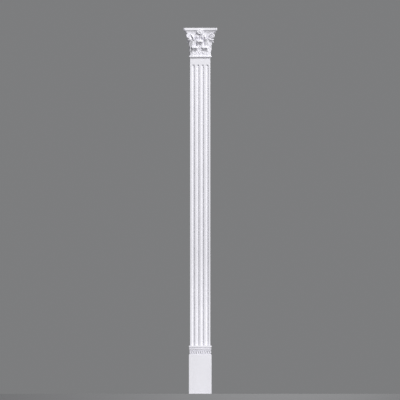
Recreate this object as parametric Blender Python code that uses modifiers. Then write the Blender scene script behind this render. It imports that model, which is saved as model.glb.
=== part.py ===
"""Wall pilaster in moulded rigid foam: a leaf capital, a fluted shaft and a moulded base.

Metres, +Z up, front towards -Y. The backs of the three pieces lie in the wall plane y = 0. The origin is the
middle of the shaft's back face, where the pilaster is glued to the wall.
"""

import math

import bmesh
import bpy
from mathutils import Matrix, Vector

# Joint between two stacked pieces
JOINT_GAP = 0.0003

# Shaft
SHAFT_WIDTH = 0.107
SHAFT_DEPTH = 0.022
SHAFT_LENGTH = 1.520
SHAFT_EASE = 0.0008
FLUTE_COUNT = 4
FLUTE_WIDTH = 0.015
FLUTE_DEPTH = 0.006
FLUTE_HEAD_DROP = 0.033

# Base: how far it stands out from the shaft, and its mouldings from the top down
BASE_SIDE_PROJECTION = 0.0065
BASE_FRONT_PROJECTION = 0.008
BASE_HEIGHT = 0.255
BASE_CORNER = 0.0012
TOP_BAND_HEIGHT = 0.0096
COVE_HEIGHT = 0.0056
COVE_DEPTH = 0.0052
ROUND_HEIGHT = 0.0066
QUIRK_HEIGHT = 0.0042
QUIRK_DEPTH = 0.0046
BEAD_LIP_HEIGHT = 0.0012
BEAD_LIP_INSET = 0.0013
BEAD_CHANNEL_HEIGHT = 0.0164
BEAD_CHANNEL_DEPTH = 0.0078
BEAD_PITCH = 0.01175
BEAD_SPACE = 0.0005
PLINTH_QUIRK_HEIGHT = 0.0030
PLINTH_QUIRK_DEPTH = 0.0026

# Capital: how far its abacus stands out from the shaft, and its parts from the bottom up
ABACUS_SIDE_PROJECTION = 0.0365
ABACUS_FRONT_PROJECTION = 0.028
CAPITAL_HEIGHT = 0.160
ASTRAGAL_HEIGHT = 0.0125
ASTRAGAL_PROJECTION = 0.0085
NECK_LIP = 0.0008
NECK_CREASE = 0.0004
BELL_INSET = 0.0025
ABACUS_HEIGHT = 0.029
ABACUS_BAND = 0.0120
ABACUS_FOOT_INSET = 0.0110
HORN_CUT = 0.0055
HORN_QUIRK_WIDTH = 0.0036
HORN_QUIRK_DEPTH = 0.0060
ABACUS_FRONT_HOLLOW = 0.0085
ABACUS_SIDE_HOLLOW = 0.0100
ABACUS_LIP = 0.0012
ABACUS_EASE = 0.0008

BASE_WIDTH = SHAFT_WIDTH + 2 * BASE_SIDE_PROJECTION
BASE_DEPTH = SHAFT_DEPTH + BASE_FRONT_PROJECTION
BASE_TOP = -SHAFT_LENGTH / 2 - JOINT_GAP
CAPITAL_WIDTH = SHAFT_WIDTH + 2 * ABACUS_SIDE_PROJECTION
CAPITAL_DEPTH = SHAFT_DEPTH + ABACUS_FRONT_PROJECTION
CAPITAL_FOOT = SHAFT_LENGTH / 2 + JOINT_GAP
BELL_FOOT = CAPITAL_FOOT + ASTRAGAL_HEIGHT
ABACUS_FOOT = CAPITAL_FOOT + CAPITAL_HEIGHT - ABACUS_HEIGHT
BELL_HEIGHT = ABACUS_FOOT - BELL_FOOT
BELL_CORNER = 0.2 * CAPITAL_DEPTH
# What is modelled behind the wall plane, and then cut off flat, and the cut's margin round the piece
SPARE = 0.004
CUT_MARGIN = 0.020

# Leaves. A leaf's height is a share of the bell's height, its width a share of the shaft's width, and its tip
# a share of its own width. Its wrap says how far its sides fall back, and its backing how much deeper than
# its middle they are, as shares of half its width.
LEAF_FOOT_SHARE = -0.03
LEAF_TIERS = {
    "lower_leaf": dict(
        height_share=0.42, width_share=0.35, tip_share=0.74, wrap_share=0.02, backing_share=0.15,
        lobe_count=3, column_count=4, reach=0.0044, curl=0.0043,
    ),
    "side_leaf": dict(
        height_share=0.66, width_share=0.22, tip_share=0.60, wrap_share=0.02, backing_share=0.15,
        lobe_count=4, column_count=2, reach=0.0032, curl=0.0034,
    ),
    "middle_leaf": dict(
        height_share=0.70, width_share=0.33, tip_share=0.78, wrap_share=0.02, backing_share=0.15,
        lobe_count=4, column_count=4, reach=0.0066, curl=0.0045,
    ),
    "corner_leaf": dict(
        height_share=0.76, width_share=0.36, tip_share=0.36, wrap_share=0.32, backing_share=0.85,
        lobe_count=4, column_count=4, reach=0.0036, curl=0.0030,
    ),
}
LEAF_STAND = 0.0028
LEAF_TIP_THICKNESS = 0.0024
LEAF_BACKING = 0.0086
LEAF_LOBE_RELIEF = 0.0026
LEAF_MIDRIB = 0.0016
LOWER_LEAF_X = 0.25 * SHAFT_WIDTH

# Stalks, from which the scrolls spring
STALK_X = 0.29 * SHAFT_WIDTH
STALK_RADIUS = 0.0088
STALK_SPREAD = 1.5

# Scrolls: the corner volutes under the horns, and the small helices either side of the middle
VOLUTE = dict(radius=0.0142, stretch=1.22, breadth=0.0145, band=0.0042, turns=1.55)
VOLUTE_SIDE_INSET = 0.0285
VOLUTE_FRONT_INSET = 0.0155
VOLUTE_BEND = 0.0120
HELIX = dict(radius=0.0100, stretch=1.0, breadth=0.0100, band=0.0029, turns=1.40)
HELIX_X = 0.0145
HELIX_STAND = 0.0035
HELIX_DROP = 0.0150
# How far a volute's band runs into the abacus that it carries
SINK = 0.0007

# Rosette on the middle of the abacus, and its stem
ROSETTE_RISE = 0.0064
STEM_RADIUS = 0.0056
STEM_LEAN = 0.0040


def clear_scene():
    for thing in list(bpy.data.objects):
        bpy.data.objects.remove(thing, do_unlink=True)


def new_collection(name):
    made = bpy.data.collections.new(name)
    bpy.context.scene.collection.children.link(made)
    return made


def paint(name, colour, roughness):
    material = bpy.data.materials.new(name)
    material.use_nodes = True
    shader = material.node_tree.nodes["Principled BSDF"]
    shader.inputs["Base Color"].default_value = (*colour, 1.0)
    shader.inputs["Roughness"].default_value = roughness
    shader.inputs["Metallic"].default_value = 0.0
    return material


def add_object(name, mesh, collection):
    piece = bpy.data.objects.new(name, mesh)
    collection.objects.link(piece)
    if collection is cutters:
        piece.hide_render = True
        piece.display_type = "WIRE"
    return piece


def add_form(name, form, collection):
    bmesh.ops.recalc_face_normals(form, faces=form.faces)
    mesh = bpy.data.meshes.new(name)
    form.to_mesh(mesh)
    form.free()
    return add_object(name, mesh, collection)


def boolean(piece, other, operation, solver="EXACT"):
    change = piece.modifiers.new(other.name, "BOOLEAN")
    change.operation = operation
    change.solver = solver
    change.object = other


def smooth(piece, degrees):
    piece.data.shade_smooth()
    piece.data.set_sharp_from_angle(angle=math.radians(degrees))
    even = piece.modifiers.new("Even shading", "WEIGHTED_NORMAL")
    even.keep_sharp = True


def block(name, low, high, collection):
    """A plain box between two corners."""
    form = bmesh.new()
    bmesh.ops.create_cube(form, size=1.0)
    bmesh.ops.scale(form, vec=Vector(high) - Vector(low), verts=form.verts)
    bmesh.ops.translate(form, vec=(Vector(high) + Vector(low)) / 2, verts=form.verts)
    return add_form(name, form, collection)


def loft(name, rings, collection):
    """A closed body through rings of as many points each, with a flat cap on the first and the last."""
    form = bmesh.new()
    rows = [[form.verts.new(point) for point in ring] for ring in rings]
    for lower, upper in zip(rows, rows[1:]):
        for i in range(len(lower)):
            j = (i + 1) % len(lower)
            form.faces.new((lower[i], lower[j], upper[j], upper[i]))
    form.faces.new(rows[0])
    form.faces.new(rows[-1])
    return add_form(name, form, collection)


def ball(name, centre, radius, around, along, collection):
    form = bmesh.new()
    bmesh.ops.create_uvsphere(form, u_segments=around, v_segments=along, radius=radius)
    bmesh.ops.translate(form, vec=centre, verts=form.verts)
    return add_form(name, form, collection)


def wall_section(half_width, depth, corner, z, corner_steps):
    """One ring at height z: a rectangle with rounded front corners, running back past the wall plane."""
    ring = [(-half_width, SPARE, z)]
    for side in (-1, 1):
        for step in range(corner_steps + 1):
            turn = math.pi / 2 * step / corner_steps
            if side > 0:
                turn = math.pi / 2 - turn
            x = side * (half_width - corner + corner * math.cos(turn))
            y = -(depth - corner + corner * math.sin(turn))
            ring.append((x, y, z))
    ring.append((half_width, SPARE, z))
    return ring


def cut_at_wall(piece, low, high, solver="EXACT"):
    """Cut off flat what is modelled behind the wall plane."""
    wide = CAPITAL_WIDTH / 2 + CUT_MARGIN
    low_corner = (-wide, 0.0, low - CUT_MARGIN)
    high_corner = (wide, CUT_MARGIN, high + CUT_MARGIN)
    behind = block(piece.name + "_wall", low_corner, high_corner, cutters)
    boolean(piece, behind, "DIFFERENCE", solver)


# Shaft


def make_flute(index, x):
    """A round-headed flute's cutter: a rod with a domed top, standing partly in front of the face."""
    radius = (FLUTE_WIDTH**2 / 4 + FLUTE_DEPTH**2) / (2 * FLUTE_DEPTH)
    dome_steps = 6
    head = SHAFT_LENGTH / 2 - FLUTE_HEAD_DROP - FLUTE_WIDTH / 2
    foot = -SHAFT_LENGTH / 2 - radius
    profile = []
    for step in range(dome_steps + 1):
        turn = math.pi / 2 * step / dome_steps
        profile.append((radius * math.sin(turn), 0.0, head + radius * math.cos(turn)))
    profile.append((radius, 0.0, foot))
    profile.append((0.0, 0.0, foot))
    name = "flute_cutter_%d" % index
    mesh = bpy.data.meshes.new(name)
    mesh.from_pydata(profile, [(i, i + 1) for i in range(len(profile) - 1)], [])
    cutter = add_object(name, mesh, cutters)
    cutter.location = (x, -SHAFT_DEPTH - (radius - FLUTE_DEPTH), 0.0)
    turned = cutter.modifiers.new("Turned", "SCREW")
    turned.steps = 24
    turned.render_steps = 24
    turned.use_merge_vertices = True
    turned.merge_threshold = 0.0001
    return cutter


def make_shaft():
    half = SHAFT_WIDTH / 2
    top = SHAFT_LENGTH / 2
    shaft = block("shaft", (-half, -SHAFT_DEPTH, -top), (half, 0.0, top), parts)
    form = bmesh.new()
    form.from_mesh(shaft.data)
    front = [edge for edge in form.edges if any(vert.co.y < -SHAFT_DEPTH / 2 for vert in edge.verts)]
    bmesh.ops.bevel(form, geom=front, offset=SHAFT_EASE, segments=2, profile=0.5, affect="EDGES")
    form.to_mesh(shaft.data)
    form.free()
    fillet = (SHAFT_WIDTH - FLUTE_COUNT * FLUTE_WIDTH) / (FLUTE_COUNT + 1)
    for index in range(FLUTE_COUNT):
        x = -half + fillet + FLUTE_WIDTH / 2 + index * (FLUTE_WIDTH + fillet)
        boolean(shaft, make_flute(index, x), "DIFFERENCE")
    smooth(shaft, 30)


# Base


def base_profile():
    """The base's profile from the top down, as (drop below its top, inset from its face)."""
    ease = BASE_CORNER
    profile = [(0.0, ease), (0.3 * ease, 0.3 * ease), (ease, 0.0)]
    drop = TOP_BAND_HEIGHT
    profile += [(drop - 0.3 * ease, 0.0)]
    cove_steps = 5
    for step in range(cove_steps + 1):
        turn = math.pi * step / cove_steps
        inset = 0.3 * ease + (COVE_DEPTH - 0.3 * ease) * math.sin(turn)
        profile.append((drop + COVE_HEIGHT * (0.5 - 0.5 * math.cos(turn)), inset))
    drop += COVE_HEIGHT
    round_steps = 6
    for step in range(1, round_steps + 1):
        turn = math.pi * step / round_steps
        inset = 0.3 * ease + 0.5 * ROUND_HEIGHT * (1 - math.sin(turn)) * step / round_steps
        profile.append((drop + ROUND_HEIGHT * (0.5 - 0.5 * math.cos(turn)), inset))
    drop += ROUND_HEIGHT
    slope = 0.1 * QUIRK_HEIGHT
    profile += [(drop + slope, QUIRK_DEPTH), (drop + QUIRK_HEIGHT - slope, QUIRK_DEPTH)]
    drop += QUIRK_HEIGHT
    profile += [(drop, BEAD_LIP_INSET), (drop + BEAD_LIP_HEIGHT, BEAD_LIP_INSET)]
    drop += BEAD_LIP_HEIGHT
    slope = 0.05 * BEAD_CHANNEL_HEIGHT
    profile += [(drop + slope, BEAD_CHANNEL_DEPTH), (drop + BEAD_CHANNEL_HEIGHT - slope, BEAD_CHANNEL_DEPTH)]
    drop += BEAD_CHANNEL_HEIGHT
    profile += [(drop, BEAD_LIP_INSET), (drop + BEAD_LIP_HEIGHT, BEAD_LIP_INSET)]
    drop += BEAD_LIP_HEIGHT
    slope = 0.1 * PLINTH_QUIRK_HEIGHT
    profile += [(drop + slope, PLINTH_QUIRK_DEPTH), (drop + PLINTH_QUIRK_HEIGHT - slope, PLINTH_QUIRK_DEPTH)]
    drop += PLINTH_QUIRK_HEIGHT
    profile += [(drop, ease), (drop + 0.3 * ease, 0.3 * ease), (drop + ease, 0.0)]
    profile += [(BASE_HEIGHT - ease, 0.0), (BASE_HEIGHT - 0.3 * ease, 0.3 * ease), (BASE_HEIGHT, ease)]
    return profile


def bead_places(low, high):
    """The beads' places from one end of a row to the other, as near to the bead pitch as fits."""
    count = max(1, round((high - low) / BEAD_PITCH))
    return [low + (high - low) * step / count for step in range(count + 1)]


def make_base():
    half = BASE_WIDTH / 2
    rings = []
    for drop, inset in base_profile():
        ring = wall_section(half - inset, BASE_DEPTH - inset, BASE_CORNER, BASE_TOP - drop, 2)
        rings.append(ring)
    base = loft("base", rings, parts)
    radius = (BEAD_PITCH - BEAD_SPACE) / 2
    end_x = half - BEAD_LIP_INSET - radius
    front_y = -(BASE_DEPTH - BEAD_LIP_INSET - radius)
    channel_top = TOP_BAND_HEIGHT + COVE_HEIGHT + ROUND_HEIGHT + QUIRK_HEIGHT + BEAD_LIP_HEIGHT
    z = BASE_TOP - channel_top - BEAD_CHANNEL_HEIGHT / 2
    places = [(x, front_y) for x in bead_places(-end_x, end_x)]
    places += [(side * end_x, y) for side in (-1, 1) for y in bead_places(front_y, 0.0)[1:]]
    for index, (x, y) in enumerate(places):
        bead = ball("bead_%02d" % index, (x, y, z), radius, 12, 6, cutters)
        boolean(base, bead, "UNION")
    cut_at_wall(base, BASE_TOP - BASE_HEIGHT, BASE_TOP)
    smooth(base, 30)


# Capital


def bell_size(z):
    """Half width and depth of the bell at height z: it rises straight and flares below the abacus."""
    share = min(max((z - BELL_FOOT) / BELL_HEIGHT, 0.0), 1.0)
    flare = share**2.6
    foot_half = SHAFT_WIDTH / 2 - BELL_INSET
    foot_depth = SHAFT_DEPTH - 0.2 * BELL_INSET
    half = foot_half + flare * 0.47 * ABACUS_SIDE_PROJECTION
    depth = foot_depth + flare * 0.42 * ABACUS_FRONT_PROJECTION
    return half, depth


def bell_point(toward, place, z):
    """The bell's surface at height z: on its front at x = place, on a side at y = place, or on a corner."""
    half, depth = bell_size(z)
    side = 1 if toward.x > 0 else -1
    if abs(toward.x) < 0.1:
        return Vector((place, -depth, z))
    if abs(toward.y) < 0.1:
        return Vector((side * half, place, z))
    centre = Vector((side * (half - BELL_CORNER), -(depth - BELL_CORNER), z))
    return centre + BELL_CORNER * toward


def make_bell():
    """The astragal and the bell above it, as one body whose profile runs round the front and both sides."""
    half = SHAFT_WIDTH / 2
    rings = []
    # Shares of the astragal's height and of its projection
    astragal = [(0.0, 0.0), (0.12, 0.08), (0.30, 0.40), (0.46, 0.85), (0.58, 1.0)]
    astragal += [(0.76, 1.0), (0.90, 0.83), (1.0, 0.42)]
    for rise, reach in astragal:
        out = NECK_LIP + reach * (ASTRAGAL_PROJECTION - NECK_LIP)
        corner = BASE_CORNER + out
        z = CAPITAL_FOOT + rise * ASTRAGAL_HEIGHT
        rings.append(wall_section(half + out, SHAFT_DEPTH + out, corner, z, 3))
    bell_steps = 8
    into_abacus = 0.1 * ABACUS_HEIGHT
    for step in range(bell_steps + 1):
        z = BELL_FOOT + NECK_CREASE + (BELL_HEIGHT + into_abacus) * step / bell_steps
        bell_half, bell_depth = bell_size(z)
        rings.append(wall_section(bell_half, bell_depth, BELL_CORNER, z, 3))
    return loft("capital", rings, parts)


def abacus_outline(inset, z):
    """Plan of the abacus: hollow front and sides, and horns set off from the front by an upright quirk."""
    horn_x = CAPITAL_WIDTH / 2 - inset
    horn_y = CAPITAL_DEPTH - inset
    quirk_x = horn_x - HORN_CUT
    quirk_y = -(horn_y - HORN_QUIRK_DEPTH)
    front_x = quirk_x - HORN_QUIRK_WIDTH
    side_steps = 4
    front_steps = 8
    half = [(horn_x - ABACUS_SIDE_HOLLOW, SPARE)]
    for step in range(side_steps + 1):
        share = step / side_steps
        half.append((horn_x - ABACUS_SIDE_HOLLOW * (1 - share**2), -(horn_y - HORN_CUT) * share))
    half += [(quirk_x, -horn_y), (quirk_x, quirk_y), (front_x, quirk_y)]
    for step in range(front_steps + 1):
        share = 1 - step / front_steps
        half.append((front_x * share, -(horn_y - ABACUS_FRONT_HOLLOW * (1 - share**2))))
    other = [(-x, y) for x, y in reversed(half[:-1])]
    return [(x, y, z) for x, y in half + other]


def make_abacus():
    """Abacus profile from the bottom up: a fillet, a cove and the top band."""
    top = CAPITAL_FOOT + CAPITAL_HEIGHT
    cove_foot = ABACUS_FOOT + 0.22 * ABACUS_HEIGHT
    cove_top = top - ABACUS_BAND
    profile = [(ABACUS_FOOT, ABACUS_FOOT_INSET), (cove_foot - ABACUS_LIP, 0.78 * ABACUS_FOOT_INSET)]
    cove_steps = 4
    for step in range(cove_steps + 1):
        turn = math.pi / 2 * step / cove_steps
        share = step / cove_steps
        inset = ABACUS_LIP + ABACUS_FOOT_INSET * (0.60 * (1 - share) + 0.16 * math.sin(2 * turn))
        profile.append((cove_foot + (cove_top - ABACUS_LIP - cove_foot) * share, inset))
    profile += [(cove_top, 0.0), (top - ABACUS_EASE, 0.0), (top, ABACUS_EASE)]
    return loft("abacus", [abacus_outline(inset, z) for z, inset in profile], cutters)


def leaf_half_width(share, leaf):
    """Half the width of a leaf along its length: narrow at the foot, lobed, and broad at the rolled tip."""
    body = 0.62 + 0.38 * math.sin(math.pi / 2 * min(share / 0.6, 1.0))
    if share > 0.62:
        body *= 1 - (1 - leaf["tip_share"]) * ((share - 0.62) / 0.38) ** 1.2
    notch = math.cos(math.pi * leaf["lobe_count"] * share) ** 6
    return 0.5 * leaf["width_share"] * SHAFT_WIDTH * body * (1 - 0.28 * notch)


def make_leaf(name, tier, toward, place):
    """An acanthus leaf lying on the bell, its tip rolled out and over, with ribs fanning to its lobes."""
    leaf = LEAF_TIERS[tier]
    curl = leaf["curl"]
    foot = BELL_FOOT + LEAF_FOOT_SHARE * BELL_HEIGHT
    rise = leaf["height_share"] * BELL_HEIGHT - curl
    across = Vector((-toward.y, toward.x, 0.0))
    up = Vector((0.0, 0.0, 1.0))
    rows = 4 * leaf["lobe_count"]
    columns = leaf["column_count"]
    bend_start = 0.66
    bend_angle = math.radians(200)
    rings = []
    for row in range(rows + 1):
        share = row / rows
        climb = min(share / bend_start, 1.0)
        turn = bend_angle * max(share - bend_start, 0.0) / (1 - bend_start)
        spine = bell_point(toward, place, foot + rise * climb)
        spine += toward * (LEAF_STAND + leaf["reach"] * climb**2 + curl * (1 - math.cos(turn)))
        spine += up * curl * math.sin(turn)
        along = up * math.cos(turn) + toward * math.sin(turn)
        normal = toward * math.cos(turn) - up * math.sin(turn)
        half = leaf_half_width(share, leaf)
        flat = 1 - turn / bend_angle
        hood = 0.45 * half * math.sin(min(turn, math.pi / 2))
        thick = LEAF_TIP_THICKNESS + LEAF_BACKING * flat**2
        front = []
        back = []
        for column in range(-columns, columns + 1):
            u = column / columns
            lobe = abs(math.sin(math.pi * leaf["lobe_count"] * share))
            fall = leaf["wrap_share"] * half * u * u * flat
            relief = LEAF_LOBE_RELIEF * abs(u) * lobe * flat
            if column == 0:
                relief += LEAF_MIDRIB * flat
            lift = 0.30 * half * abs(u) ** 1.5 * flat
            point = spine + across * (half * u) + along * lift - up * (hood * u * u)
            backing = thick + leaf["backing_share"] * half * abs(u) * flat**2
            front.append(point + normal * (relief - fall))
            back.append(point - normal * (fall + backing))
        rings.append(front + back[::-1])
    return loft(name, rings, cutters)


def make_stalk(name, x):
    """The fluted sheath between the leaves, from which the scrolls spring."""
    ribs = 7
    rings = []
    # Shares of the bell's height and of the stalk's greatest radius
    for share, swell in ((0.36, 0.40), (0.50, 0.545), (0.64, 0.75), (0.72, 0.966), (0.745, 1.0)):
        radius = swell * STALK_RADIUS
        z = BELL_FOOT + share * BELL_HEIGHT
        centre = bell_point(Vector((0, -1, 0)), x, z)
        ring = []
        for step in range(2 * ribs):
            turn = math.pi * step / ribs
            reach = radius * (1.0 if step % 2 else 0.82)
            out = STALK_SPREAD * reach * math.cos(turn)
            ring.append(centre + Vector((out, reach * math.sin(turn) - 0.3 * radius, 0)))
        rings.append(ring)
    return loft(name, rings, cutters)


def scroll_path(scroll, eye_z, start):
    """A rising stem and then a shrinking spiral, as (run, height, thickness share), with run 0 at the eye."""
    radius = scroll["radius"]
    run, rise = start
    path = []
    stem_steps = 5
    for step in range(stem_steps):
        t = step / stem_steps
        knots = (
            ((1 - t) ** 3, run, rise),
            (3 * t * (1 - t) ** 2, 0.85 * run, eye_z + 0.3 * radius),
            (3 * t * t * (1 - t), 0.45 * run, eye_z + radius),
            (t**3, 0.0, eye_z + radius),
        )
        path.append((sum(k * x for k, x, _ in knots), sum(k * z for k, _, z in knots), 1.0))
    spiral_steps = 22
    for step in range(spiral_steps + 1):
        t = step / spiral_steps
        turn = math.pi / 2 - 2 * math.pi * scroll["turns"] * t
        reach = radius * (1 - 0.76 * t)
        run = scroll["stretch"] * reach * math.cos(turn)
        path.append((run, eye_z + reach * math.sin(turn), 1 - 0.45 * t))
    return path


def make_scroll(name, scroll, eye, plan, start, web_back):
    """A scroll on its stem: a band wound in an upright sheet, whose plan the function plan gives."""
    radius = scroll["radius"]
    breadth = scroll["breadth"]
    path = scroll_path(scroll, eye.z, start)
    rings = []
    for index, (run, z, share) in enumerate(path):
        before = path[max(index - 1, 0)]
        after = path[min(index + 1, len(path) - 1)]
        step = Vector((after[0] - before[0], after[1] - before[1])).normalized()
        point, ahead, across = plan(run)
        centre = point + Vector((0, 0, z))
        inward = (ahead * step.y - Vector((0, 0, step.x))) * scroll["band"] * share
        edge = across * (breadth / 2) * (1.15 - 0.15 * share)
        outer = [centre - edge, centre + edge]
        rings.append(outer + [centre + 0.8 * edge + inward, centre - 0.8 * edge + inward])
    made = [loft(name + "_band", rings, cutters)]
    point, ahead, across = plan(0.0)
    # The web fills the scroll to a little below the band's edges, and the eye stands a little above them
    for word, reach, back, front in (
        ("web", 0.90 * radius, web_back * breadth, 0.31 * breadth),
        ("eye", 0.24 * radius, 0.30 * breadth, 0.62 * breadth),
    ):
        frame = Matrix((ahead * scroll["stretch"], Vector((0, 0, 1)), across)).transposed().to_4x4()
        frame.translation = point + Vector((0, 0, eye.z)) + across * (front - back) / 2
        form = bmesh.new()
        bmesh.ops.create_cone(
            form, cap_ends=True, segments=14, radius1=reach, radius2=reach, depth=front + back, matrix=frame
        )
        made.append(add_form(name + "_" + word, form, cutters))
    return made


def corner_plan(side, eye):
    """Plan of a corner scroll's sheet: turned outwards at the corner, along the front at its stem."""
    outward = math.radians(22)
    inward = math.radians(-4)
    steps = 12

    def plan(run):
        point = Vector((eye.x, eye.y, 0.0))
        turn = outward
        for step in range(steps):
            here = run * (step + 0.5) / steps
            turn = max(outward + min(here, 0.0) / VOLUTE_BEND * (outward - inward), inward)
            point += Vector((side * math.cos(turn), -math.sin(turn), 0)) * (run / steps)
        ahead = Vector((side * math.cos(turn), -math.sin(turn), 0))
        return point, ahead, Vector((-side * math.sin(turn), -math.cos(turn), 0))

    return plan


def front_plan(side, eye):
    """Plan of an inner scroll's sheet: straight along the front, towards the middle."""
    ahead = Vector((-side, 0, 0))

    def plan(run):
        return Vector((eye.x, eye.y, 0.0)) + ahead * run, ahead, Vector((0, -1, 0))

    return plan


def make_scrolls(side, word):
    """One side's corner volute and inner helix, both springing from the stalk."""
    stem_z = BELL_FOOT + 0.70 * BELL_HEIGHT
    eye_x = CAPITAL_WIDTH / 2 - VOLUTE_SIDE_INSET
    eye_z = ABACUS_FOOT - VOLUTE["radius"] + SINK
    eye = Vector((side * eye_x, -(CAPITAL_DEPTH - VOLUTE_FRONT_INSET), eye_z))
    start = (-(eye_x - STALK_X), stem_z)
    made = make_scroll("volute_" + word, VOLUTE, eye, corner_plan(side, eye), start, 0.31)
    eye_z = ABACUS_FOOT - HELIX_DROP
    eye = Vector((side * HELIX_X, -bell_size(eye_z)[1] - HELIX_STAND, eye_z))
    start = (-(STALK_X - HELIX_X), stem_z)
    made += make_scroll("helix_" + word, HELIX, eye, front_plan(side, eye), start, 0.5)
    return made


def make_rosette():
    """The flower on the middle of the abacus, on a stem that rises from the middle leaf."""
    z = ABACUS_FOOT + 0.34 * ABACUS_HEIGHT
    face = CAPITAL_DEPTH - ABACUS_FRONT_HOLLOW
    petals = 7
    steps = 4 * petals
    wide = 0.18 * SHAFT_WIDTH
    tall = 0.48 * ABACUS_HEIGHT
    rings = []
    # Shares of the flower's reach and of its rise over the abacus, and how deep the petals part
    for reach, rise, parting in (
        (0.86, -0.625, 0.16),
        (1.00, 0.22, 0.18),
        (0.78, 0.656, 0.16),
        (0.44, 0.344, 0.06),
        (0.36, 0.75, 0.0),
        (0.16, 1.0, 0.0),
    ):
        y = -face - rise * ROSETTE_RISE
        ring = []
        for step in range(steps):
            turn = 2 * math.pi * step / steps
            lobe = reach * (1 - parting * (0.5 + 0.5 * math.cos(petals * turn)))
            ring.append((wide * lobe * math.sin(turn), y, z - tall * lobe * math.cos(turn)))
        rings.append(ring)
    made = [loft("rosette", rings, cutters)]
    stem_foot = BELL_FOOT + 0.66 * BELL_HEIGHT
    stem_sides = 7
    rings = []
    for share, swell in ((0.0, 0.536), (0.5, 0.643), (0.9, 1.0)):
        radius = swell * STEM_RADIUS
        height = stem_foot + share * (z - stem_foot)
        centre_y = -(bell_size(height)[1] + STEM_LEAN * share)
        turns = [2 * math.pi * (step + 0.3) / stem_sides for step in range(stem_sides)]
        rings.append([(radius * math.cos(t), centre_y + radius * math.sin(t), height) for t in turns])
    made.append(loft("rosette_stem", rings, cutters))
    return made


def make_capital():
    capital = make_bell()
    front = Vector((0, -1, 0))
    made = [make_abacus()]
    for side, word in ((-1, "left"), (1, "right")):
        corner = Vector((side, -1, 0)).normalized()
        flank = Vector((side, 0, 0))
        made.append(make_leaf("corner_leaf_" + word, "corner_leaf", corner, 0.0))
        made.append(make_leaf("side_leaf_" + word, "side_leaf", flank, -0.5 * SHAFT_DEPTH))
        made.append(make_leaf("lower_leaf_" + word, "lower_leaf", front, side * LOWER_LEAF_X))
        made.append(make_stalk("stalk_" + word, side * STALK_X))
        made += make_scrolls(side, word)
    made.append(make_leaf("middle_leaf", "middle_leaf", front, 0.0))
    made += make_rosette()
    for form in made:
        boolean(capital, form, "UNION", "MANIFOLD")
    cut_at_wall(capital, CAPITAL_FOOT, CAPITAL_FOOT + CAPITAL_HEIGHT, "MANIFOLD")
    smooth(capital, 35)


clear_scene()
parts = new_collection("pilaster")
cutters = new_collection("cutters")
white = paint("white_foam_paint", (0.83, 0.82, 0.84), 0.55)
make_shaft()
make_base()
make_capital()
for piece in parts.objects:
    piece.data.materials.append(white)
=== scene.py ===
"""Looks of the wall pilaster: fine meshes for its three pieces, a white foam finish and a soft studio.

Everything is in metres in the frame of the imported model, front towards -Y, with the wall plane at y = 0.
"""

import math

import bmesh
import bpy
from mathutils import Matrix, Vector


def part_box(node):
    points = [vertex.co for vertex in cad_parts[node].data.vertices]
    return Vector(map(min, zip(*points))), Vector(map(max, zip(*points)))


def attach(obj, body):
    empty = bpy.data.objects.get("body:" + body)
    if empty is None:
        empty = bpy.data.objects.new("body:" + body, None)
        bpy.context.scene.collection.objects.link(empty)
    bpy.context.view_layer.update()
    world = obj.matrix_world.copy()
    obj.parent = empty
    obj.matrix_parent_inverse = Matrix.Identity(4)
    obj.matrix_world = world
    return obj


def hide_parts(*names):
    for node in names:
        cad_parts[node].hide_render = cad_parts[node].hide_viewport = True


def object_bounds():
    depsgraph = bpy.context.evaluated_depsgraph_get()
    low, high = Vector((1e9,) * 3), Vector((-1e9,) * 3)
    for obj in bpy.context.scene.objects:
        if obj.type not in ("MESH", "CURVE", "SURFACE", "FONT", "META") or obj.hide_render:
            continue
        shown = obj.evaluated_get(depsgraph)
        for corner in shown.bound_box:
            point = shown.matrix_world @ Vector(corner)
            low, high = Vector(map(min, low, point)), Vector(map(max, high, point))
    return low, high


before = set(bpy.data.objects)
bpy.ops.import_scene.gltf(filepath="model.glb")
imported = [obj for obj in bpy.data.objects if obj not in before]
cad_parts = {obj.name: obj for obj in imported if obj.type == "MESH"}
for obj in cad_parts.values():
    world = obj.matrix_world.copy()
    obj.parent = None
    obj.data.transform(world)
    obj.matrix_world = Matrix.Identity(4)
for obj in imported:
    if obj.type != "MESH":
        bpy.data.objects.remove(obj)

cad_low, cad_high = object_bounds()

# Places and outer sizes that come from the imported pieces
shaft_low, shaft_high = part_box("shaft")
base_low, base_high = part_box("base")
capital_low, capital_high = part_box("capital")
SHAFT_WIDTH = shaft_high[0] - shaft_low[0]
SHAFT_DEPTH = -shaft_low[1]
BASE_WIDTH = base_high[0] - base_low[0]
BASE_DEPTH = -base_low[1]
BASE_TOP = base_high[2]
BASE_HEIGHT = base_high[2] - base_low[2]
CAPITAL_WIDTH = capital_high[0] - capital_low[0]
CAPITAL_DEPTH = -capital_low[1]
CAPITAL_FOOT = capital_low[2]
CAPITAL_TOP = capital_high[2]

# Shaft
SHAFT_EASE = 0.0008
FLUTE_COUNT = 4
FLUTE_WIDTH = 0.015
FLUTE_DEPTH = 0.006
FLUTE_HEAD_DROP = 0.033
FLUTE_ARRIS = 0.0006

# Base, from the top down
BASE_CORNER = 0.0012
TOP_BAND_HEIGHT = 0.0096
COVE_HEIGHT = 0.0056
COVE_DEPTH = 0.0052
ROUND_HEIGHT = 0.0066
QUIRK_HEIGHT = 0.0042
QUIRK_DEPTH = 0.0046
BEAD_LIP_HEIGHT = 0.0012
BEAD_LIP_INSET = 0.0013
BEAD_CHANNEL_HEIGHT = 0.0164
BEAD_CHANNEL_DEPTH = 0.0078
BEAD_PITCH = 0.01175
BEAD_SPACE = 0.0005
PLINTH_QUIRK_HEIGHT = 0.0030
PLINTH_QUIRK_DEPTH = 0.0026

# Capital, from the bottom up
ASTRAGAL_HEIGHT = 0.0125
ASTRAGAL_PROJECTION = 0.0085
NECK_LIP = 0.0008
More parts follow.
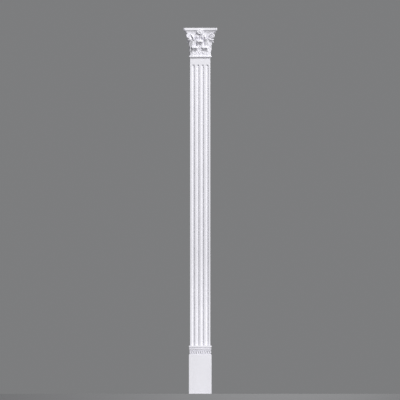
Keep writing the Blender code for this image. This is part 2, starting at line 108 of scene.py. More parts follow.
# The bell's lowest ring lies this much above the astragal's last one
NECK_CREASE = 0.0004
BELL_INSET = 0.0025
ABACUS_HEIGHT = 0.029
ABACUS_BAND = 0.0120
ABACUS_FOOT_INSET = 0.0110
ABACUS_LIP = 0.0012
ABACUS_EASE = 0.0008
HORN_CUT = 0.0055
HORN_QUIRK_WIDTH = 0.0036
HORN_QUIRK_DEPTH = 0.0060
ABACUS_FRONT_HOLLOW = 0.0085
ABACUS_SIDE_HOLLOW = 0.0100
BELL_FOOT = CAPITAL_FOOT + ASTRAGAL_HEIGHT
ABACUS_FOOT = CAPITAL_TOP - ABACUS_HEIGHT
BELL_HEIGHT = ABACUS_FOOT - BELL_FOOT
BELL_CORNER = 0.2 * CAPITAL_DEPTH
SIDE_PROJECTION = (CAPITAL_WIDTH - SHAFT_WIDTH) / 2
FRONT_PROJECTION = CAPITAL_DEPTH - SHAFT_DEPTH
# What is modelled behind the wall plane, and then cut off flat, and the cut's margin round the piece
SPARE = 0.004
CUT_MARGIN = 0.020

# Leaves: shares of the bell's height, of the shaft's width, of the leaf's own width and of half that width,
# then metres
LEAF_FOOT_SHARE = -0.03
LEAF_TIERS = {
    "lower_leaf": dict(
        height_share=0.42, width_share=0.35, tip_share=0.74, wrap_share=0.02, backing_share=0.15,
        lobe_count=3, reach=0.0044, curl=0.0043,
    ),
    "side_leaf": dict(
        height_share=0.66, width_share=0.22, tip_share=0.60, wrap_share=0.02, backing_share=0.15,
        lobe_count=4, reach=0.0032, curl=0.0034,
    ),
    "middle_leaf": dict(
        height_share=0.70, width_share=0.33, tip_share=0.78, wrap_share=0.02, backing_share=0.15,
        lobe_count=4, reach=0.0066, curl=0.0045,
    ),
    "corner_leaf": dict(
        height_share=0.76, width_share=0.36, tip_share=0.36, wrap_share=0.32, backing_share=0.85,
        lobe_count=4, reach=0.0036, curl=0.0030,
    ),
}
LEAF_STAND = 0.0028
LEAF_TIP_THICKNESS = 0.0024
LEAF_BACKING = 0.0086
# How much farther up the leaf a lobe lies at the leaf's edge than at its midrib, as a share of its length
LOBE_SLANT = 0.15
# The share of its length from which a leaf narrows to its tip, and from which it rolls over
LEAF_NARROWS = 0.62
LEAF_ROLLS = 0.66
LOWER_LEAF_X = 0.25 * SHAFT_WIDTH

# Leaf carving: how far each form stands out of the leaf's face or is cut into it, and how wide it is
MIDRIB_HEIGHT = 0.0017
MIDRIB_WIDTH = 0.0017
GROOVE_DEPTH = 0.0011
GROOVE_WIDTH = 0.0011
GROOVE_X = 0.0032
LOBE_HEIGHT = 0.0024
LOBE_VALLEY = 0.0016
LOBE_OVERLAP = 0.0012
LEAFLET_HEIGHT = 0.0013
EYE_DEPTH = 0.0030
PIPE_HEIGHT = 0.0006
PIPE_PITCH = 0.0040
TIP_RIB_HEIGHT = 0.0012

# Sheaths between the leaves
STALK_X = 0.29 * SHAFT_WIDTH
STALK_RADIUS = 0.0088
STALK_SPREAD = 1.5

# Scrolls
VOLUTE = dict(radius=0.0142, stretch=1.22, breadth=0.0145, band=0.0042, turns=1.55)
VOLUTE_SIDE_INSET = 0.0285
VOLUTE_FRONT_INSET = 0.0155
VOLUTE_BEND = 0.0120
HELIX = dict(radius=0.0100, stretch=1.0, breadth=0.0100, band=0.0029, turns=1.40)
HELIX_X = 0.0145
HELIX_STAND = 0.0035
HELIX_DROP = 0.0150
SINK = 0.0007
ROSETTE_RISE = 0.0064
STEM_RADIUS = 0.0056
STEM_LEAN = 0.0040

# Casting: the grain of the capital's mesh, and the most triangles that it keeps
VOXEL = 0.0006
CAPITAL_TRIANGLES = 190000

# Studio: the floor slab just under the base, and the room light
FLOOR_GAP = 0.0002
FLOOR_THICKNESS = 0.04
FLOOR_REACH = 5.0
FLOOR_FRONT = 0.9
ROOM_LIGHT = 0.21

FRONT = Vector((0.0, -1.0, 0.0))
UP = Vector((0.0, 0.0, 1.0))


# Mesh helpers


def link(name, mesh):
    piece = bpy.data.objects.new(name, mesh)
    bpy.context.scene.collection.objects.link(piece)
    return piece


def add_form(name, form):
    bmesh.ops.recalc_face_normals(form, faces=form.faces)
    mesh = bpy.data.meshes.new(name)
    form.to_mesh(mesh)
    form.free()
    return link(name, mesh)


def loft(name, rings):
    """A closed body through rings of as many points each, with a flat cap on the first and the last."""
    form = bmesh.new()
    rows = [[form.verts.new(point) for point in ring] for ring in rings]
    for lower, upper in zip(rows, rows[1:]):
        for i in range(len(lower)):
            j = (i + 1) % len(lower)
            form.faces.new((lower[i], lower[j], upper[j], upper[i]))
    form.faces.new(rows[0])
    form.faces.new(rows[-1])
    return add_form(name, form)


def block(name, low, high):
    form = bmesh.new()
    bmesh.ops.create_cube(form, size=1.0)
    bmesh.ops.scale(form, vec=Vector(high) - Vector(low), verts=form.verts)
    bmesh.ops.translate(form, vec=(Vector(high) + Vector(low)) / 2, verts=form.verts)
    return add_form(name, form)


def remove(piece):
    mesh = piece.data
    bpy.data.objects.remove(piece, do_unlink=True)
    bpy.data.meshes.remove(mesh)


def apply_modifiers(piece):
    shown = piece.evaluated_get(bpy.context.evaluated_depsgraph_get())
    mesh = bpy.data.meshes.new_from_object(shown)
    old = piece.data
    piece.modifiers.clear()
    piece.data = mesh
    bpy.data.meshes.remove(old)


def combine(piece, others, operation):
    """A Boolean of closed meshes, one after another, and the others are removed."""
    for other in others:
        change = piece.modifiers.new(other.name, "BOOLEAN")
        change.operation = operation
        change.solver = "MANIFOLD"
        change.object = other
    apply_modifiers(piece)
    for other in others:
        remove(other)


def shade(piece, degrees):
    piece.data.shade_smooth()
    piece.data.set_sharp_from_angle(angle=math.radians(degrees))
    even = piece.modifiers.new("Even shading", "WEIGHTED_NORMAL")
    even.keep_sharp = True
    apply_modifiers(piece)


def ease(share):
    """A smooth step from 0 to 1."""
    share = min(max(share, 0.0), 1.0)
    return share * share * (3 - 2 * share)


def bump(distance, width):
    return math.exp(-((distance / width) ** 2))


def through(points, steps):
    """A smooth curve through points in a plane, with as many steps between each two."""
    made = []
    for i in range(len(points) - 1):
        before = points[max(i - 1, 0)]
        after = points[min(i + 2, len(points) - 1)]
        start, end = points[i], points[i + 1]
        for step in range(steps):
            t = step / steps
            row = []
            for a, p, q, b in zip(before, start, end, after):
                value = 2 * p + (q - a) * t + (2 * a - 5 * p + 4 * q - b) * t * t
                row.append(0.5 * (value + (3 * p - a - 3 * q + b) * t**3))
            made.append(tuple(row))
    return made + [points[-1]]


def wall_section(half_width, depth, corner, z, corner_steps):
    """One ring at height z: a rectangle with rounded front corners, running back past the wall plane."""
    ring = [(-half_width, SPARE, z)]
    for side in (-1, 1):
        for step in range(corner_steps + 1):
            turn = math.pi / 2 * step / corner_steps
            if side > 0:
                turn = math.pi / 2 - turn
            x = side * (half_width - corner + corner * math.cos(turn))
            y = -(depth - corner + corner * math.sin(turn))
            ring.append((x, y, z))
    ring.append((half_width, SPARE, z))
    return ring


def cut_at_wall(piece, low, high):
    """Cut off flat what is modelled behind the wall plane."""
    wide = CAPITAL_WIDTH / 2 + CUT_MARGIN
    near_corner = (-wide, 0.0, low - CUT_MARGIN)
    behind = block(piece.name + "_wall", near_corner, (wide, CUT_MARGIN, high + CUT_MARGIN))
    combine(piece, [behind], "DIFFERENCE")


# Shaft


def flute_profile():
    """Half a flute's section as (distance from its middle line, depth): hollow, softened arris, way out."""
    radius = (FLUTE_WIDTH**2 / 4 + FLUTE_DEPTH**2) / (2 * FLUTE_DEPTH)
    rise = radius - FLUTE_DEPTH
    arris_x = math.sqrt((radius + FLUTE_ARRIS) ** 2 - (FLUTE_ARRIS + rise) ** 2)
    wall_turn = math.atan2(arris_x, FLUTE_ARRIS + rise)
    hollow_steps = 16
    profile = []
    for step in range(hollow_steps + 1):
        turn = wall_turn * step / hollow_steps
        profile.append((radius * math.sin(turn), radius * math.cos(turn) - rise))
    arris_steps = 6
    for step in range(1, arris_steps):
        turn = wall_turn * (1 - step / arris_steps)
        x = arris_x - FLUTE_ARRIS * math.sin(turn)
        profile.append((x, FLUTE_ARRIS - FLUTE_ARRIS * math.cos(turn)))
    clear = 0.00004
    front = 0.003
    return profile + [(arris_x + clear, -clear), (arris_x + clear, -front), (0.0, -front)]


def make_flute(name, x):
    """A flute's cutter: its half section carried up one side, round the head and down the other side."""
    profile = flute_profile()
    head = shaft_high[2] - FLUTE_HEAD_DROP - FLUTE_WIDTH / 2
    foot = shaft_low[2] - 0.005
    dome_steps = 40
    path = [(-1.0, 0.0, foot)]
    for step in range(dome_steps + 1):
        turn = math.pi * (1 - step / dome_steps)
        path.append((math.cos(turn), math.sin(turn), head))
    path.append((1.0, 0.0, foot))
    form = bmesh.new()
    rows = []
    for side, lift, z in path:
        row = [form.verts.new((x + side * out, -SHAFT_DEPTH + deep, z + lift * out)) for out, deep in profile]
        rows.append(row)
    for left, right in zip(rows, rows[1:]):
        for i in range(len(profile) - 1):
            form.faces.new((left[i], left[i + 1], right[i + 1], right[i]))
    form.faces.new(rows[0] + rows[-1][::-1])
    weld = 0.000002
    bmesh.ops.remove_doubles(form, verts=form.verts, dist=weld)
    return add_form(name, form)


def make_shaft():
    shaft = block("fine_shaft", shaft_low, (shaft_high[0], 0.0, shaft_high[2]))
    form = bmesh.new()
    form.from_mesh(shaft.data)
    front = [edge for edge in form.edges if any(vert.co.y < -SHAFT_DEPTH / 2 for vert in edge.verts)]
    bmesh.ops.bevel(form, geom=front, offset=SHAFT_EASE, segments=4, profile=0.5, affect="EDGES")
    form.to_mesh(shaft.data)
    form.free()
    fillet = (SHAFT_WIDTH - FLUTE_COUNT * FLUTE_WIDTH) / (FLUTE_COUNT + 1)
    flutes = []
    for index in range(FLUTE_COUNT):
        x = -SHAFT_WIDTH / 2 + fillet + FLUTE_WIDTH / 2 + index * (FLUTE_WIDTH + fillet)
        flutes.append(make_flute("flute_%d" % index, x))
    combine(shaft, flutes, "DIFFERENCE")
    shade(shaft, 40)
    return shaft


# Base


def eased(profile, drop, inset, toward, steps=4):
    """Adds a quarter round to the profile, from a level face to an upright one or back."""
    for step in range(steps + 1):
        turn = math.pi / 2 * step / steps
        if toward == "down":
            point = (drop + BASE_CORNER * (1 - math.cos(turn)), inset + BASE_CORNER * (1 - math.sin(turn)))
        else:
            point = (drop - BASE_CORNER * (1 - math.sin(turn)), inset + BASE_CORNER * (1 - math.cos(turn)))
        profile.append(point)


def add_bead_lip(profile, drop):
    """Adds the thin lip over or under the bead channel, and gives the drop of its lower edge."""
    soft = 0.25 * BEAD_LIP_HEIGHT
    foot = drop + BEAD_LIP_HEIGHT
    profile.extend([(drop, BEAD_LIP_INSET + soft), (drop + soft, BEAD_LIP_INSET)])
    profile.extend([(foot - soft, BEAD_LIP_INSET), (foot, BEAD_LIP_INSET + soft)])
    return foot


def base_profile():
    """The base's profile from the top down, as (drop below its top, inset from its face)."""
    lip = 0.3 * BASE_CORNER
    profile = []
    eased(profile, 0.0, 0.0, "down")
    drop = TOP_BAND_HEIGHT
    profile.append((drop - lip, 0.0))
    cove_steps = 16
    for step in range(cove_steps + 1):
        turn = math.pi * step / cove_steps
        inset = lip + (COVE_DEPTH - lip) * math.sin(turn)
        profile.append((drop + COVE_HEIGHT * (0.5 - 0.5 * math.cos(turn)), inset))
    drop += COVE_HEIGHT
    round_steps = 16
    for step in range(1, round_steps + 1):
        turn = math.pi * step / round_steps
        inset = lip + 0.5 * ROUND_HEIGHT * (1 - math.sin(turn)) * step / round_steps
        profile.append((drop + ROUND_HEIGHT * (0.5 - 0.5 * math.cos(turn)), inset))
    drop += ROUND_HEIGHT
    slope = 0.1 * QUIRK_HEIGHT
    profile += [(drop + slope, QUIRK_DEPTH), (drop + QUIRK_HEIGHT - slope, QUIRK_DEPTH)]
    drop = add_bead_lip(profile, drop + QUIRK_HEIGHT)
    channel_steps = 10
    for step in range(1, channel_steps):
        turn = math.pi * step / channel_steps
        inset = BEAD_CHANNEL_DEPTH * (0.72 + 0.28 * math.sin(turn))
        profile.append((drop + BEAD_CHANNEL_HEIGHT * (0.5 - 0.47 * math.cos(turn)), inset))
    drop = add_bead_lip(profile, drop + BEAD_CHANNEL_HEIGHT)
    slope = 0.1 * PLINTH_QUIRK_HEIGHT
    profile += [(drop + slope, PLINTH_QUIRK_DEPTH), (drop + PLINTH_QUIRK_HEIGHT - slope, PLINTH_QUIRK_DEPTH)]
    drop += PLINTH_QUIRK_HEIGHT
    eased(profile, drop, 0.0, "down")
    eased(profile, BASE_HEIGHT, 0.0, "up")
    return profile


def bead_places(low, high):
    """The beads' places from one end of a row to the other, as near to the bead pitch as fits."""
    count = max(1, round((high - low) / BEAD_PITCH))
    return [low + (high - low) * step / count for step in range(count + 1)]


def make_base():
    half = BASE_WIDTH / 2
    rings = []
    for drop, inset in base_profile():
        rings.append(wall_section(half - inset, BASE_DEPTH - inset, BASE_CORNER, BASE_TOP - drop, 6))
    base = loft("fine_base", rings)
    radius = (BEAD_PITCH - BEAD_SPACE) / 2
    end_x = half - BEAD_LIP_INSET - radius
    front_y = -(BASE_DEPTH - BEAD_LIP_INSET - radius)
    channel_top = TOP_BAND_HEIGHT + COVE_HEIGHT + ROUND_HEIGHT + QUIRK_HEIGHT + BEAD_LIP_HEIGHT
    z = BASE_TOP - channel_top - BEAD_CHANNEL_HEIGHT / 2
    places = [(x, front_y) for x in bead_places(-end_x, end_x)]
    places += [(side * end_x, y) for side in (-1, 1) for y in bead_places(front_y, 0.0)[1:]]
    beads = []
    for index, (x, y) in enumerate(places):
        form = bmesh.new()
        bmesh.ops.create_uvsphere(form, u_segments=32, v_segments=20, radius=radius)
        bmesh.ops.translate(form, vec=(x, y, z), verts=form.verts)
        beads.append(add_form("bead_%02d" % index, form))
    combine(base, beads, "UNION")
    cut_at_wall(base, base_low[2], base_high[2])
    shade(base, 40)
    return base


# Capital


def bell_size(z):
    """Half width and depth of the bell at height z: it rises straight and flares below the abacus."""
    share = min(max((z - BELL_FOOT) / BELL_HEIGHT, 0.0), 1.0)
    flare = share**2.6
    foot_half = SHAFT_WIDTH / 2 - BELL_INSET
    foot_depth = SHAFT_DEPTH - 0.2 * BELL_INSET
    half = foot_half + flare * 0.47 * SIDE_PROJECTION
    depth = foot_depth + flare * 0.42 * FRONT_PROJECTION
    return half, depth


def bell_point(toward, place, z):
    """The bell's surface at height z: on its front at x = place, on a side at y = place, or on a corner."""
    half, depth = bell_size(z)
    side = 1 if toward.x > 0 else -1
    if abs(toward.x) < 0.1:
        return Vector((place, -depth, z))
    if abs(toward.y) < 0.1:
        return Vector((side * half, place, z))
    centre = Vector((side * (half - BELL_CORNER), -(depth - BELL_CORNER), z))
    return centre + BELL_CORNER * toward


def make_bell():
    """The astragal and the bell above it, as one body whose profile runs round the front and both sides."""
    half = SHAFT_WIDTH / 2
    rings = []
    # Shares of the astragal's height and of its projection
    astragal = [(0.0, 0.0), (0.12, 0.08), (0.30, 0.40), (0.46, 0.85), (0.58, 1.0)]
    astragal += [(0.76, 1.0), (0.90, 0.83), (1.0, 0.42)]
    for rise, reach in through(astragal, 4):
        out = NECK_LIP + min(reach, 1.0) * (ASTRAGAL_PROJECTION - NECK_LIP)
        z = CAPITAL_FOOT + rise * ASTRAGAL_HEIGHT
        rings.append(wall_section(half + out, SHAFT_DEPTH + out, BASE_CORNER + out, z, 10))
    bell_steps = 30
    into_abacus = 0.1 * ABACUS_HEIGHT
    for step in range(bell_steps + 1):
        z = BELL_FOOT + NECK_CREASE + (BELL_HEIGHT + into_abacus) * step / bell_steps
        bell_half, bell_depth = bell_size(z)
        rings.append(wall_section(bell_half, bell_depth, BELL_CORNER, z, 10))
    return loft("bell", rings)


def abacus_outline(inset, z):
    """Plan of the abacus: hollow front and sides, and horns set off from the front by an upright quirk."""
    horn_x = CAPITAL_WIDTH / 2 - inset
    horn_y = CAPITAL_DEPTH - inset
    quirk_x = horn_x - HORN_CUT
    quirk_y = -(horn_y - HORN_QUIRK_DEPTH)
    front_x = quirk_x - HORN_QUIRK_WIDTH
    side_steps = 16
    front_steps = 40
    half = [(horn_x - ABACUS_SIDE_HOLLOW, SPARE)]
    for step in range(side_steps + 1):
        share = step / side_steps
        half.append((horn_x - ABACUS_SIDE_HOLLOW * (1 - share**2), -(horn_y - HORN_CUT) * share))
    half += [(quirk_x, -horn_y), (quirk_x, quirk_y), (front_x, quirk_y)]
    for step in range(front_steps + 1):
        share = 1 - step / front_steps
        half.append((front_x * share, -(horn_y - ABACUS_FRONT_HOLLOW * (1 - share**2))))
    other = [(-x, y) for x, y in reversed(half[:-1])]
    return [(x, y, z) for x, y in half + other]


def make_abacus():
    """Abacus profile from the bottom up: a fillet, a cove and the top band."""
    cove_foot = ABACUS_FOOT + 0.22 * ABACUS_HEIGHT
    cove_top = CAPITAL_TOP - ABACUS_BAND
    profile = [(ABACUS_FOOT, ABACUS_FOOT_INSET), (cove_foot - ABACUS_LIP, 0.78 * ABACUS_FOOT_INSET)]
    cove_steps = 14
    for step in range(cove_steps + 1):
        turn = math.pi / 2 * step / cove_steps
        share = step / cove_steps
        inset = ABACUS_LIP + ABACUS_FOOT_INSET * (0.60 * (1 - share) + 0.16 * math.sin(2 * turn))
        profile.append((cove_foot + (cove_top - ABACUS_LIP - cove_foot) * share, inset))
    profile += [(cove_top, 0.0), (CAPITAL_TOP - ABACUS_EASE, 0.0), (CAPITAL_TOP, ABACUS_EASE)]
    return loft("abacus", [abacus_outline(inset, z) for z, inset in profile])


def leaf_half_width(share, leaf, band):
    """Half a leaf's width along its length, cut into lobes and, within them, into leaflets."""
    body = 0.62 + 0.38 * math.sin(math.pi / 2 * min(share / 0.6, 1.0))
    if share > LEAF_NARROWS:
        body *= 1 - (1 - leaf["tip_share"]) * ((share - LEAF_NARROWS) / (1 - LEAF_NARROWS)) ** 1.2
    notch = math.cos(math.pi * band) ** 6
    leaflet = 1 - abs(math.sin(3 * math.pi * band)) ** 0.8
    return 0.5 * leaf["width_share"] * SHAFT_WIDTH * body * (1.03 - 0.24 * notch - 0.10 * leaflet)


def carving(u, half, share, band):
    """The relief carved into a leaf's face: midrib, pipes, lobes with their leaflets, and drilled eyes."""
    across = abs(u) * half
    within = band - math.floor(band)
    edge = min(within, 1 - within)
    outer = ease((abs(u) - 0.14) / 0.30)
    relief = MIDRIB_HEIGHT * bump(across, MIDRIB_WIDTH * (1 - 0.4 * share))
    relief -= GROOVE_DEPTH * bump(across - GROOVE_X, GROOVE_WIDTH)
    # Each lobe swells between valleys, and its upper edge lies behind the lobe above it
    relief += outer * (LOBE_HEIGHT * math.sin(math.pi * within) ** 0.6 - LOBE_VALLEY)
    relief += outer * LOBE_OVERLAP * (0.5 - within)
    relief += LEAFLET_HEIGHT * outer * abs(u) ** 0.5 * (abs(math.sin(3 * math.pi * band)) ** 0.7 - 0.6)
    relief -= EYE_DEPTH * bump(edge, 0.11) * bump(abs(u) - 0.50, 0.13)
    pipes = (1 - outer) * (1 - ease((share - 0.35) / 0.35))
    return relief + PIPE_HEIGHT * pipes * math.cos(2 * math.pi * across / PIPE_PITCH)


def make_leaf(name, tier, toward, place):
    """An acanthus leaf lying on the bell, its tip rolled out and over, with ribs fanning to its lobes."""
    leaf = LEAF_TIERS[tier]
    curl = leaf["curl"]
    foot = BELL_FOOT + LEAF_FOOT_SHARE * BELL_HEIGHT
    rise = leaf["height_share"] * BELL_HEIGHT - curl
    across = Vector((-toward.y, toward.x, 0.0))
    rows = 110
    columns = 28
    bend_angle = math.radians(200)
    rings = []
    for row in range(rows + 1):
        share = row / rows
        climb = min(share / LEAF_ROLLS, 1.0)
        rolled = max(share - LEAF_ROLLS, 0.0) / (1 - LEAF_ROLLS)
        half = leaf_half_width(share, leaf, leaf["lobe_count"] * (share - LOBE_SLANT))
        bell = bell_point(toward, place, foot + rise * climb)
        bell += toward * (LEAF_STAND + leaf["reach"] * climb**2)
        front = []
        back = []
        for column in range(-columns, columns + 1):
            u = column / columns
            # The rolled tip is cut into five leaflets, the outer ones shorter
            tooth = abs(math.cos(2.5 * math.pi * u)) ** 0.6
            turn = bend_angle * rolled * (1 - rolled * (0.20 * (1 - tooth) + 0.16 * u * u))
            flat = 1 - turn / bend_angle
            along = UP * math.cos(turn) + toward * math.sin(turn)
            normal = toward * math.cos(turn) - UP * math.sin(turn)
            hood = 0.45 * half * math.sin(min(turn, math.pi / 2))
            lift = 0.30 * half * abs(u) ** 1.5 * flat
            point = bell + toward * curl * (1 - math.cos(turn)) + UP * (curl * math.sin(turn) - hood * u * u)
            point += across * (half * u) + along * lift
            fall = leaf["wrap_share"] * half * u * u * flat
            band = leaf["lobe_count"] * (share - LOBE_SLANT * abs(u))
            relief = carving(u, half, share, band) * (0.25 + 0.75 * flat)
            backing = LEAF_TIP_THICKNESS + (LEAF_BACKING + leaf["backing_share"] * half * abs(u)) * flat**2
            backing += TIP_RIB_HEIGHT * ease(rolled / 0.25) * (tooth - 0.7)
            front.append(point + normal * (relief - fall))
            back.append(point - normal * (fall + backing))
        rings.append(front + back[::-1])
    return loft(name, rings)


def make_stalk(name, x):
    """The leafy sheath from which the scrolls spring, with ribs that end in turned-out lobes."""
    ribs = 10
    steps = 14 * ribs
    rings = []
    # Shares of the bell's height and of the sheath's radius, and how deep its ribs part
    shape = [(0.30, 0.36, 0.14), (0.42, 0.45, 0.16), (0.54, 0.58, 0.18), (0.64, 0.74, 0.20)]
    shape += [(0.69, 0.88, 0.22), (0.72, 1.04, 0.24), (0.735, 1.14, 0.22), (0.728, 1.18, 0.22)]
    shape += [(0.715, 1.14, 0.22), (0.722, 1.02, 0.16), (0.730, 0.90, 0.08)]
    for share, swell, part in through(shape, 5):
        radius = swell * STALK_RADIUS
        ring = []
        for step in range(steps):
            turn = 2 * math.pi * step / steps
            rib = abs(math.sin(ribs * turn / 2)) ** 0.7
            reach = radius * (1 - part * (1 - rib))
            height = share + 0.03 * rib * ease((share - 0.64) / 0.08)
            centre = bell_point(FRONT, x, BELL_FOOT + height * BELL_HEIGHT)
            out = STALK_SPREAD * reach * math.cos(turn)
            ring.append(centre + Vector((out, reach * math.sin(turn) - 0.3 * radius, 0)))
        rings.append(ring)
    return loft(name, rings)


def scroll_path(scroll, eye_z, start):
    """A rising stem and then a shrinking spiral, as (run, height, thickness share), with run 0 at the eye."""
    radius = scroll["radius"]
    run, rise = start
    path = []
    stem_steps = 20
    for step in range(stem_steps):
        t = step / stem_steps
        knots = (
            ((1 - t) ** 3, run, rise),
            (3 * t * (1 - t) ** 2, 0.85 * run, eye_z + 0.3 * radius),
            (3 * t * t * (1 - t), 0.45 * run, eye_z + radius),
            (t**3, 0.0, eye_z + radius),
        )
        path.append((sum(k * x for k, x, _ in knots), sum(k * z for k, _, z in knots), 1.0))
    spiral_steps = 88
    for step in range(spiral_steps + 1):
        t = step / spiral_steps
        turn = math.pi / 2 - 2 * math.pi * scroll["turns"] * t
        reach = radius * (1 - 0.76 * t)
        run = scroll["stretch"] * reach * math.cos(turn)
        path.append((run, eye_z + reach * math.sin(turn), 1 - 0.45 * t))
    return path


def band_section(breadth, band):
    """Section of a scroll's band, as (place across, depth inward): rounded, with a channelled back."""
    points = []
    steps = 24
    for step in range(steps):
        turn = 2 * math.pi * step / steps
        side = math.copysign(abs(math.cos(turn)) ** 0.45, math.cos(turn))
        deep = math.copysign(abs(math.sin(turn)) ** 0.45, math.sin(turn))
        place = 0.5 * breadth * side
        inward = 0.5 * band * (1 + deep)
        if deep < 0:
            inward += 0.28 * band * bump(place, 0.28 * breadth)
        points.append((place, inward))
    return points


def make_scroll(name, scroll, eye, plan, start, web_back):
    """A scroll on its stem: a band wound in an upright sheet, whose plan the function plan gives."""
    radius = scroll["radius"]
    breadth = scroll["breadth"]
    path = scroll_path(scroll, eye.z, start)
    rings = []
    for index, (run, z, share) in enumerate(path):
        before = path[max(index - 1, 0)]
        after = path[min(index + 1, len(path) - 1)]
        step = Vector((after[0] - before[0], after[1] - before[1])).normalized()
        point, ahead, across = plan(run)
        centre = point + Vector((0, 0, z))
        inward = ahead * step.y - Vector((0, 0, step.x))
        section = band_section(breadth * (1.15 - 0.15 * share), scroll["band"] * share)
        rings.append([centre + across * place + inward * deep for place, deep in section])
    made = [loft(name + "_band", rings)]
    point, ahead, across = plan(0.0)
    turned = Matrix((ahead * scroll["stretch"], UP, across)).transposed().to_4x4()
    # The web fills the scroll to a little below the band's edges
    front = 0.31 * breadth
    back = web_back * breadth
    turned.translation = point + UP * eye.z + across * (front - back) / 2
    form = bmesh.new()
    bmesh.ops.create_cone(
        form, cap_ends=True, segments=48, radius1=0.90 * radius, radius2=0.90 * radius, depth=front + back,
        matrix=turned,
    )
    made.append(add_form(name + "_web", form))
    # The eye is a button that stands a little above them
    front = 0.62 * breadth
    back = 0.30 * breadth
    squeeze = Matrix.Diagonal((0.26 * radius, 0.26 * radius, (front + back) / 2, 1.0))
    turned.translation = point + UP * eye.z + across * (front - back) / 2
    form = bmesh.new()
    bmesh.ops.create_uvsphere(form, u_segments=32, v_segments=20, radius=1.0, matrix=turned @ squeeze)
    made.append(add_form(name + "_eye", form))
    return made


def corner_plan(side, eye):
    """Plan of a corner scroll's sheet: turned outwards at the corner, along the front at its stem."""
    outward = math.radians(22)
    inward = math.radians(-4)
    steps = 12

    def plan(run):
        point = Vector((eye.x, eye.y, 0.0))
        turn = outward
        for step in range(steps):
            here = run * (step + 0.5) / steps
            turn = max(outward + min(here, 0.0) / VOLUTE_BEND * (outward - inward), inward)
            point += Vector((side * math.cos(turn), -math.sin(turn), 0)) * (run / steps)
        ahead = Vector((side * math.cos(turn), -math.sin(turn), 0))
        return point, ahead, Vector((-side * math.sin(turn), -math.cos(turn), 0))

    return plan


def front_plan(side, eye):
    """Plan of an inner scroll's sheet: straight along the front, towards the middle."""
    ahead = Vector((-side, 0, 0))

    def plan(run):
        return Vector((eye.x, eye.y, 0.0)) + ahead * run, ahead, FRONT

    return plan


def make_scrolls(side, word):
    """One side's corner volute and inner helix, both springing from the stalk."""
    stem_z = BELL_FOOT + 0.70 * BELL_HEIGHT
    eye_x = CAPITAL_WIDTH / 2 - VOLUTE_SIDE_INSET
    eye_z = ABACUS_FOOT - VOLUTE["radius"] + SINK
    eye = Vector((side * eye_x, -(CAPITAL_DEPTH - VOLUTE_FRONT_INSET), eye_z))
    start = (-(eye_x - STALK_X), stem_z)
    made = make_scroll("volute_" + word, VOLUTE, eye, corner_plan(side, eye), start, 0.31)
    eye_z = ABACUS_FOOT - HELIX_DROP
    eye = Vector((side * HELIX_X, -bell_size(eye_z)[1] - HELIX_STAND, eye_z))
    start = (-(STALK_X - HELIX_X), stem_z)
    made += make_scroll("helix_" + word, HELIX, eye, front_plan(side, eye), start, 0.5)
    return made


def make_rosette():
    """The flower on the middle of the abacus, on a stem that rises from the middle leaf."""
    z = ABACUS_FOOT + 0.34 * ABACUS_HEIGHT
    face = CAPITAL_DEPTH - ABACUS_FRONT_HOLLOW
    petals = 7
    steps = 24 * petals
    wide = 0.18 * SHAFT_WIDTH
    tall = 0.48 * ABACUS_HEIGHT
    rings = []
    # Shares of the flower's reach and of its rise over the abacus, how deep the petals part, and their veins
    shape = (
        (0.86, -0.625, 0.16, 0.0),
        (0.95, -0.10, 0.18, 0.0),
        (1.00, 0.22, 0.18, 0.0),
        (0.97, 0.45, 0.18, 0.4),
        (0.90, 0.60, 0.17, 0.8),
        (0.78, 0.656, 0.14, 1.0),
        (0.64, 0.56, 0.11, 1.0),
        (0.52, 0.42, 0.08, 0.8),
        (0.44, 0.30, 0.04, 0.4),
        (0.38, 0.44, 0.0, 0.0),
        (0.36, 0.70, 0.0, 0.0),
        (0.30, 0.88, 0.0, 0.0),
        (0.16, 1.0, 0.0, 0.0),
        (0.05, 1.0, 0.0, 0.0),
    )
    for reach, rise, parting, vein in through(shape, 3):
        ring = []
        for step in range(steps):
            turn = 2 * math.pi * step / steps
            part = 0.5 + 0.5 * math.cos(petals * turn)
            lobe = reach * (1 - parting * part**3)
            dip = vein * (0.26 * part**4 + 0.13 * (1 - part) ** 12)
            y = -face - (rise - dip) * ROSETTE_RISE
            ring.append((wide * lobe * math.sin(turn), y, z - tall * lobe * math.cos(turn)))
        rings.append(ring)
    made = [loft("rosette", rings)]
    stem_foot = BELL_FOOT + 0.66 * BELL_HEIGHT
    stem_sides = 24
    rings = []
    for share, swell in through([(0.0, 0.536), (0.5, 0.643), (0.9, 1.0)], 8):
        radius = swell * STEM_RADIUS
        height = stem_foot + share * (z - stem_foot)
        centre_y = -(bell_size(height)[1] + STEM_LEAN * share)
        turns = [2 * math.pi * step / stem_sides for step in range(stem_sides)]
        rings.append([(radius * math.cos(t), centre_y + radius * math.sin(t), height) for t in turns])
    made.append(loft("rosette_stem", rings))
    return made


def join(name, forms):
    """One object from several closed bodies that run into one another."""
    form = bmesh.new()
    for each in forms:
        form.from_mesh(each.data)
        remove(each)
    return add_form(name, form)


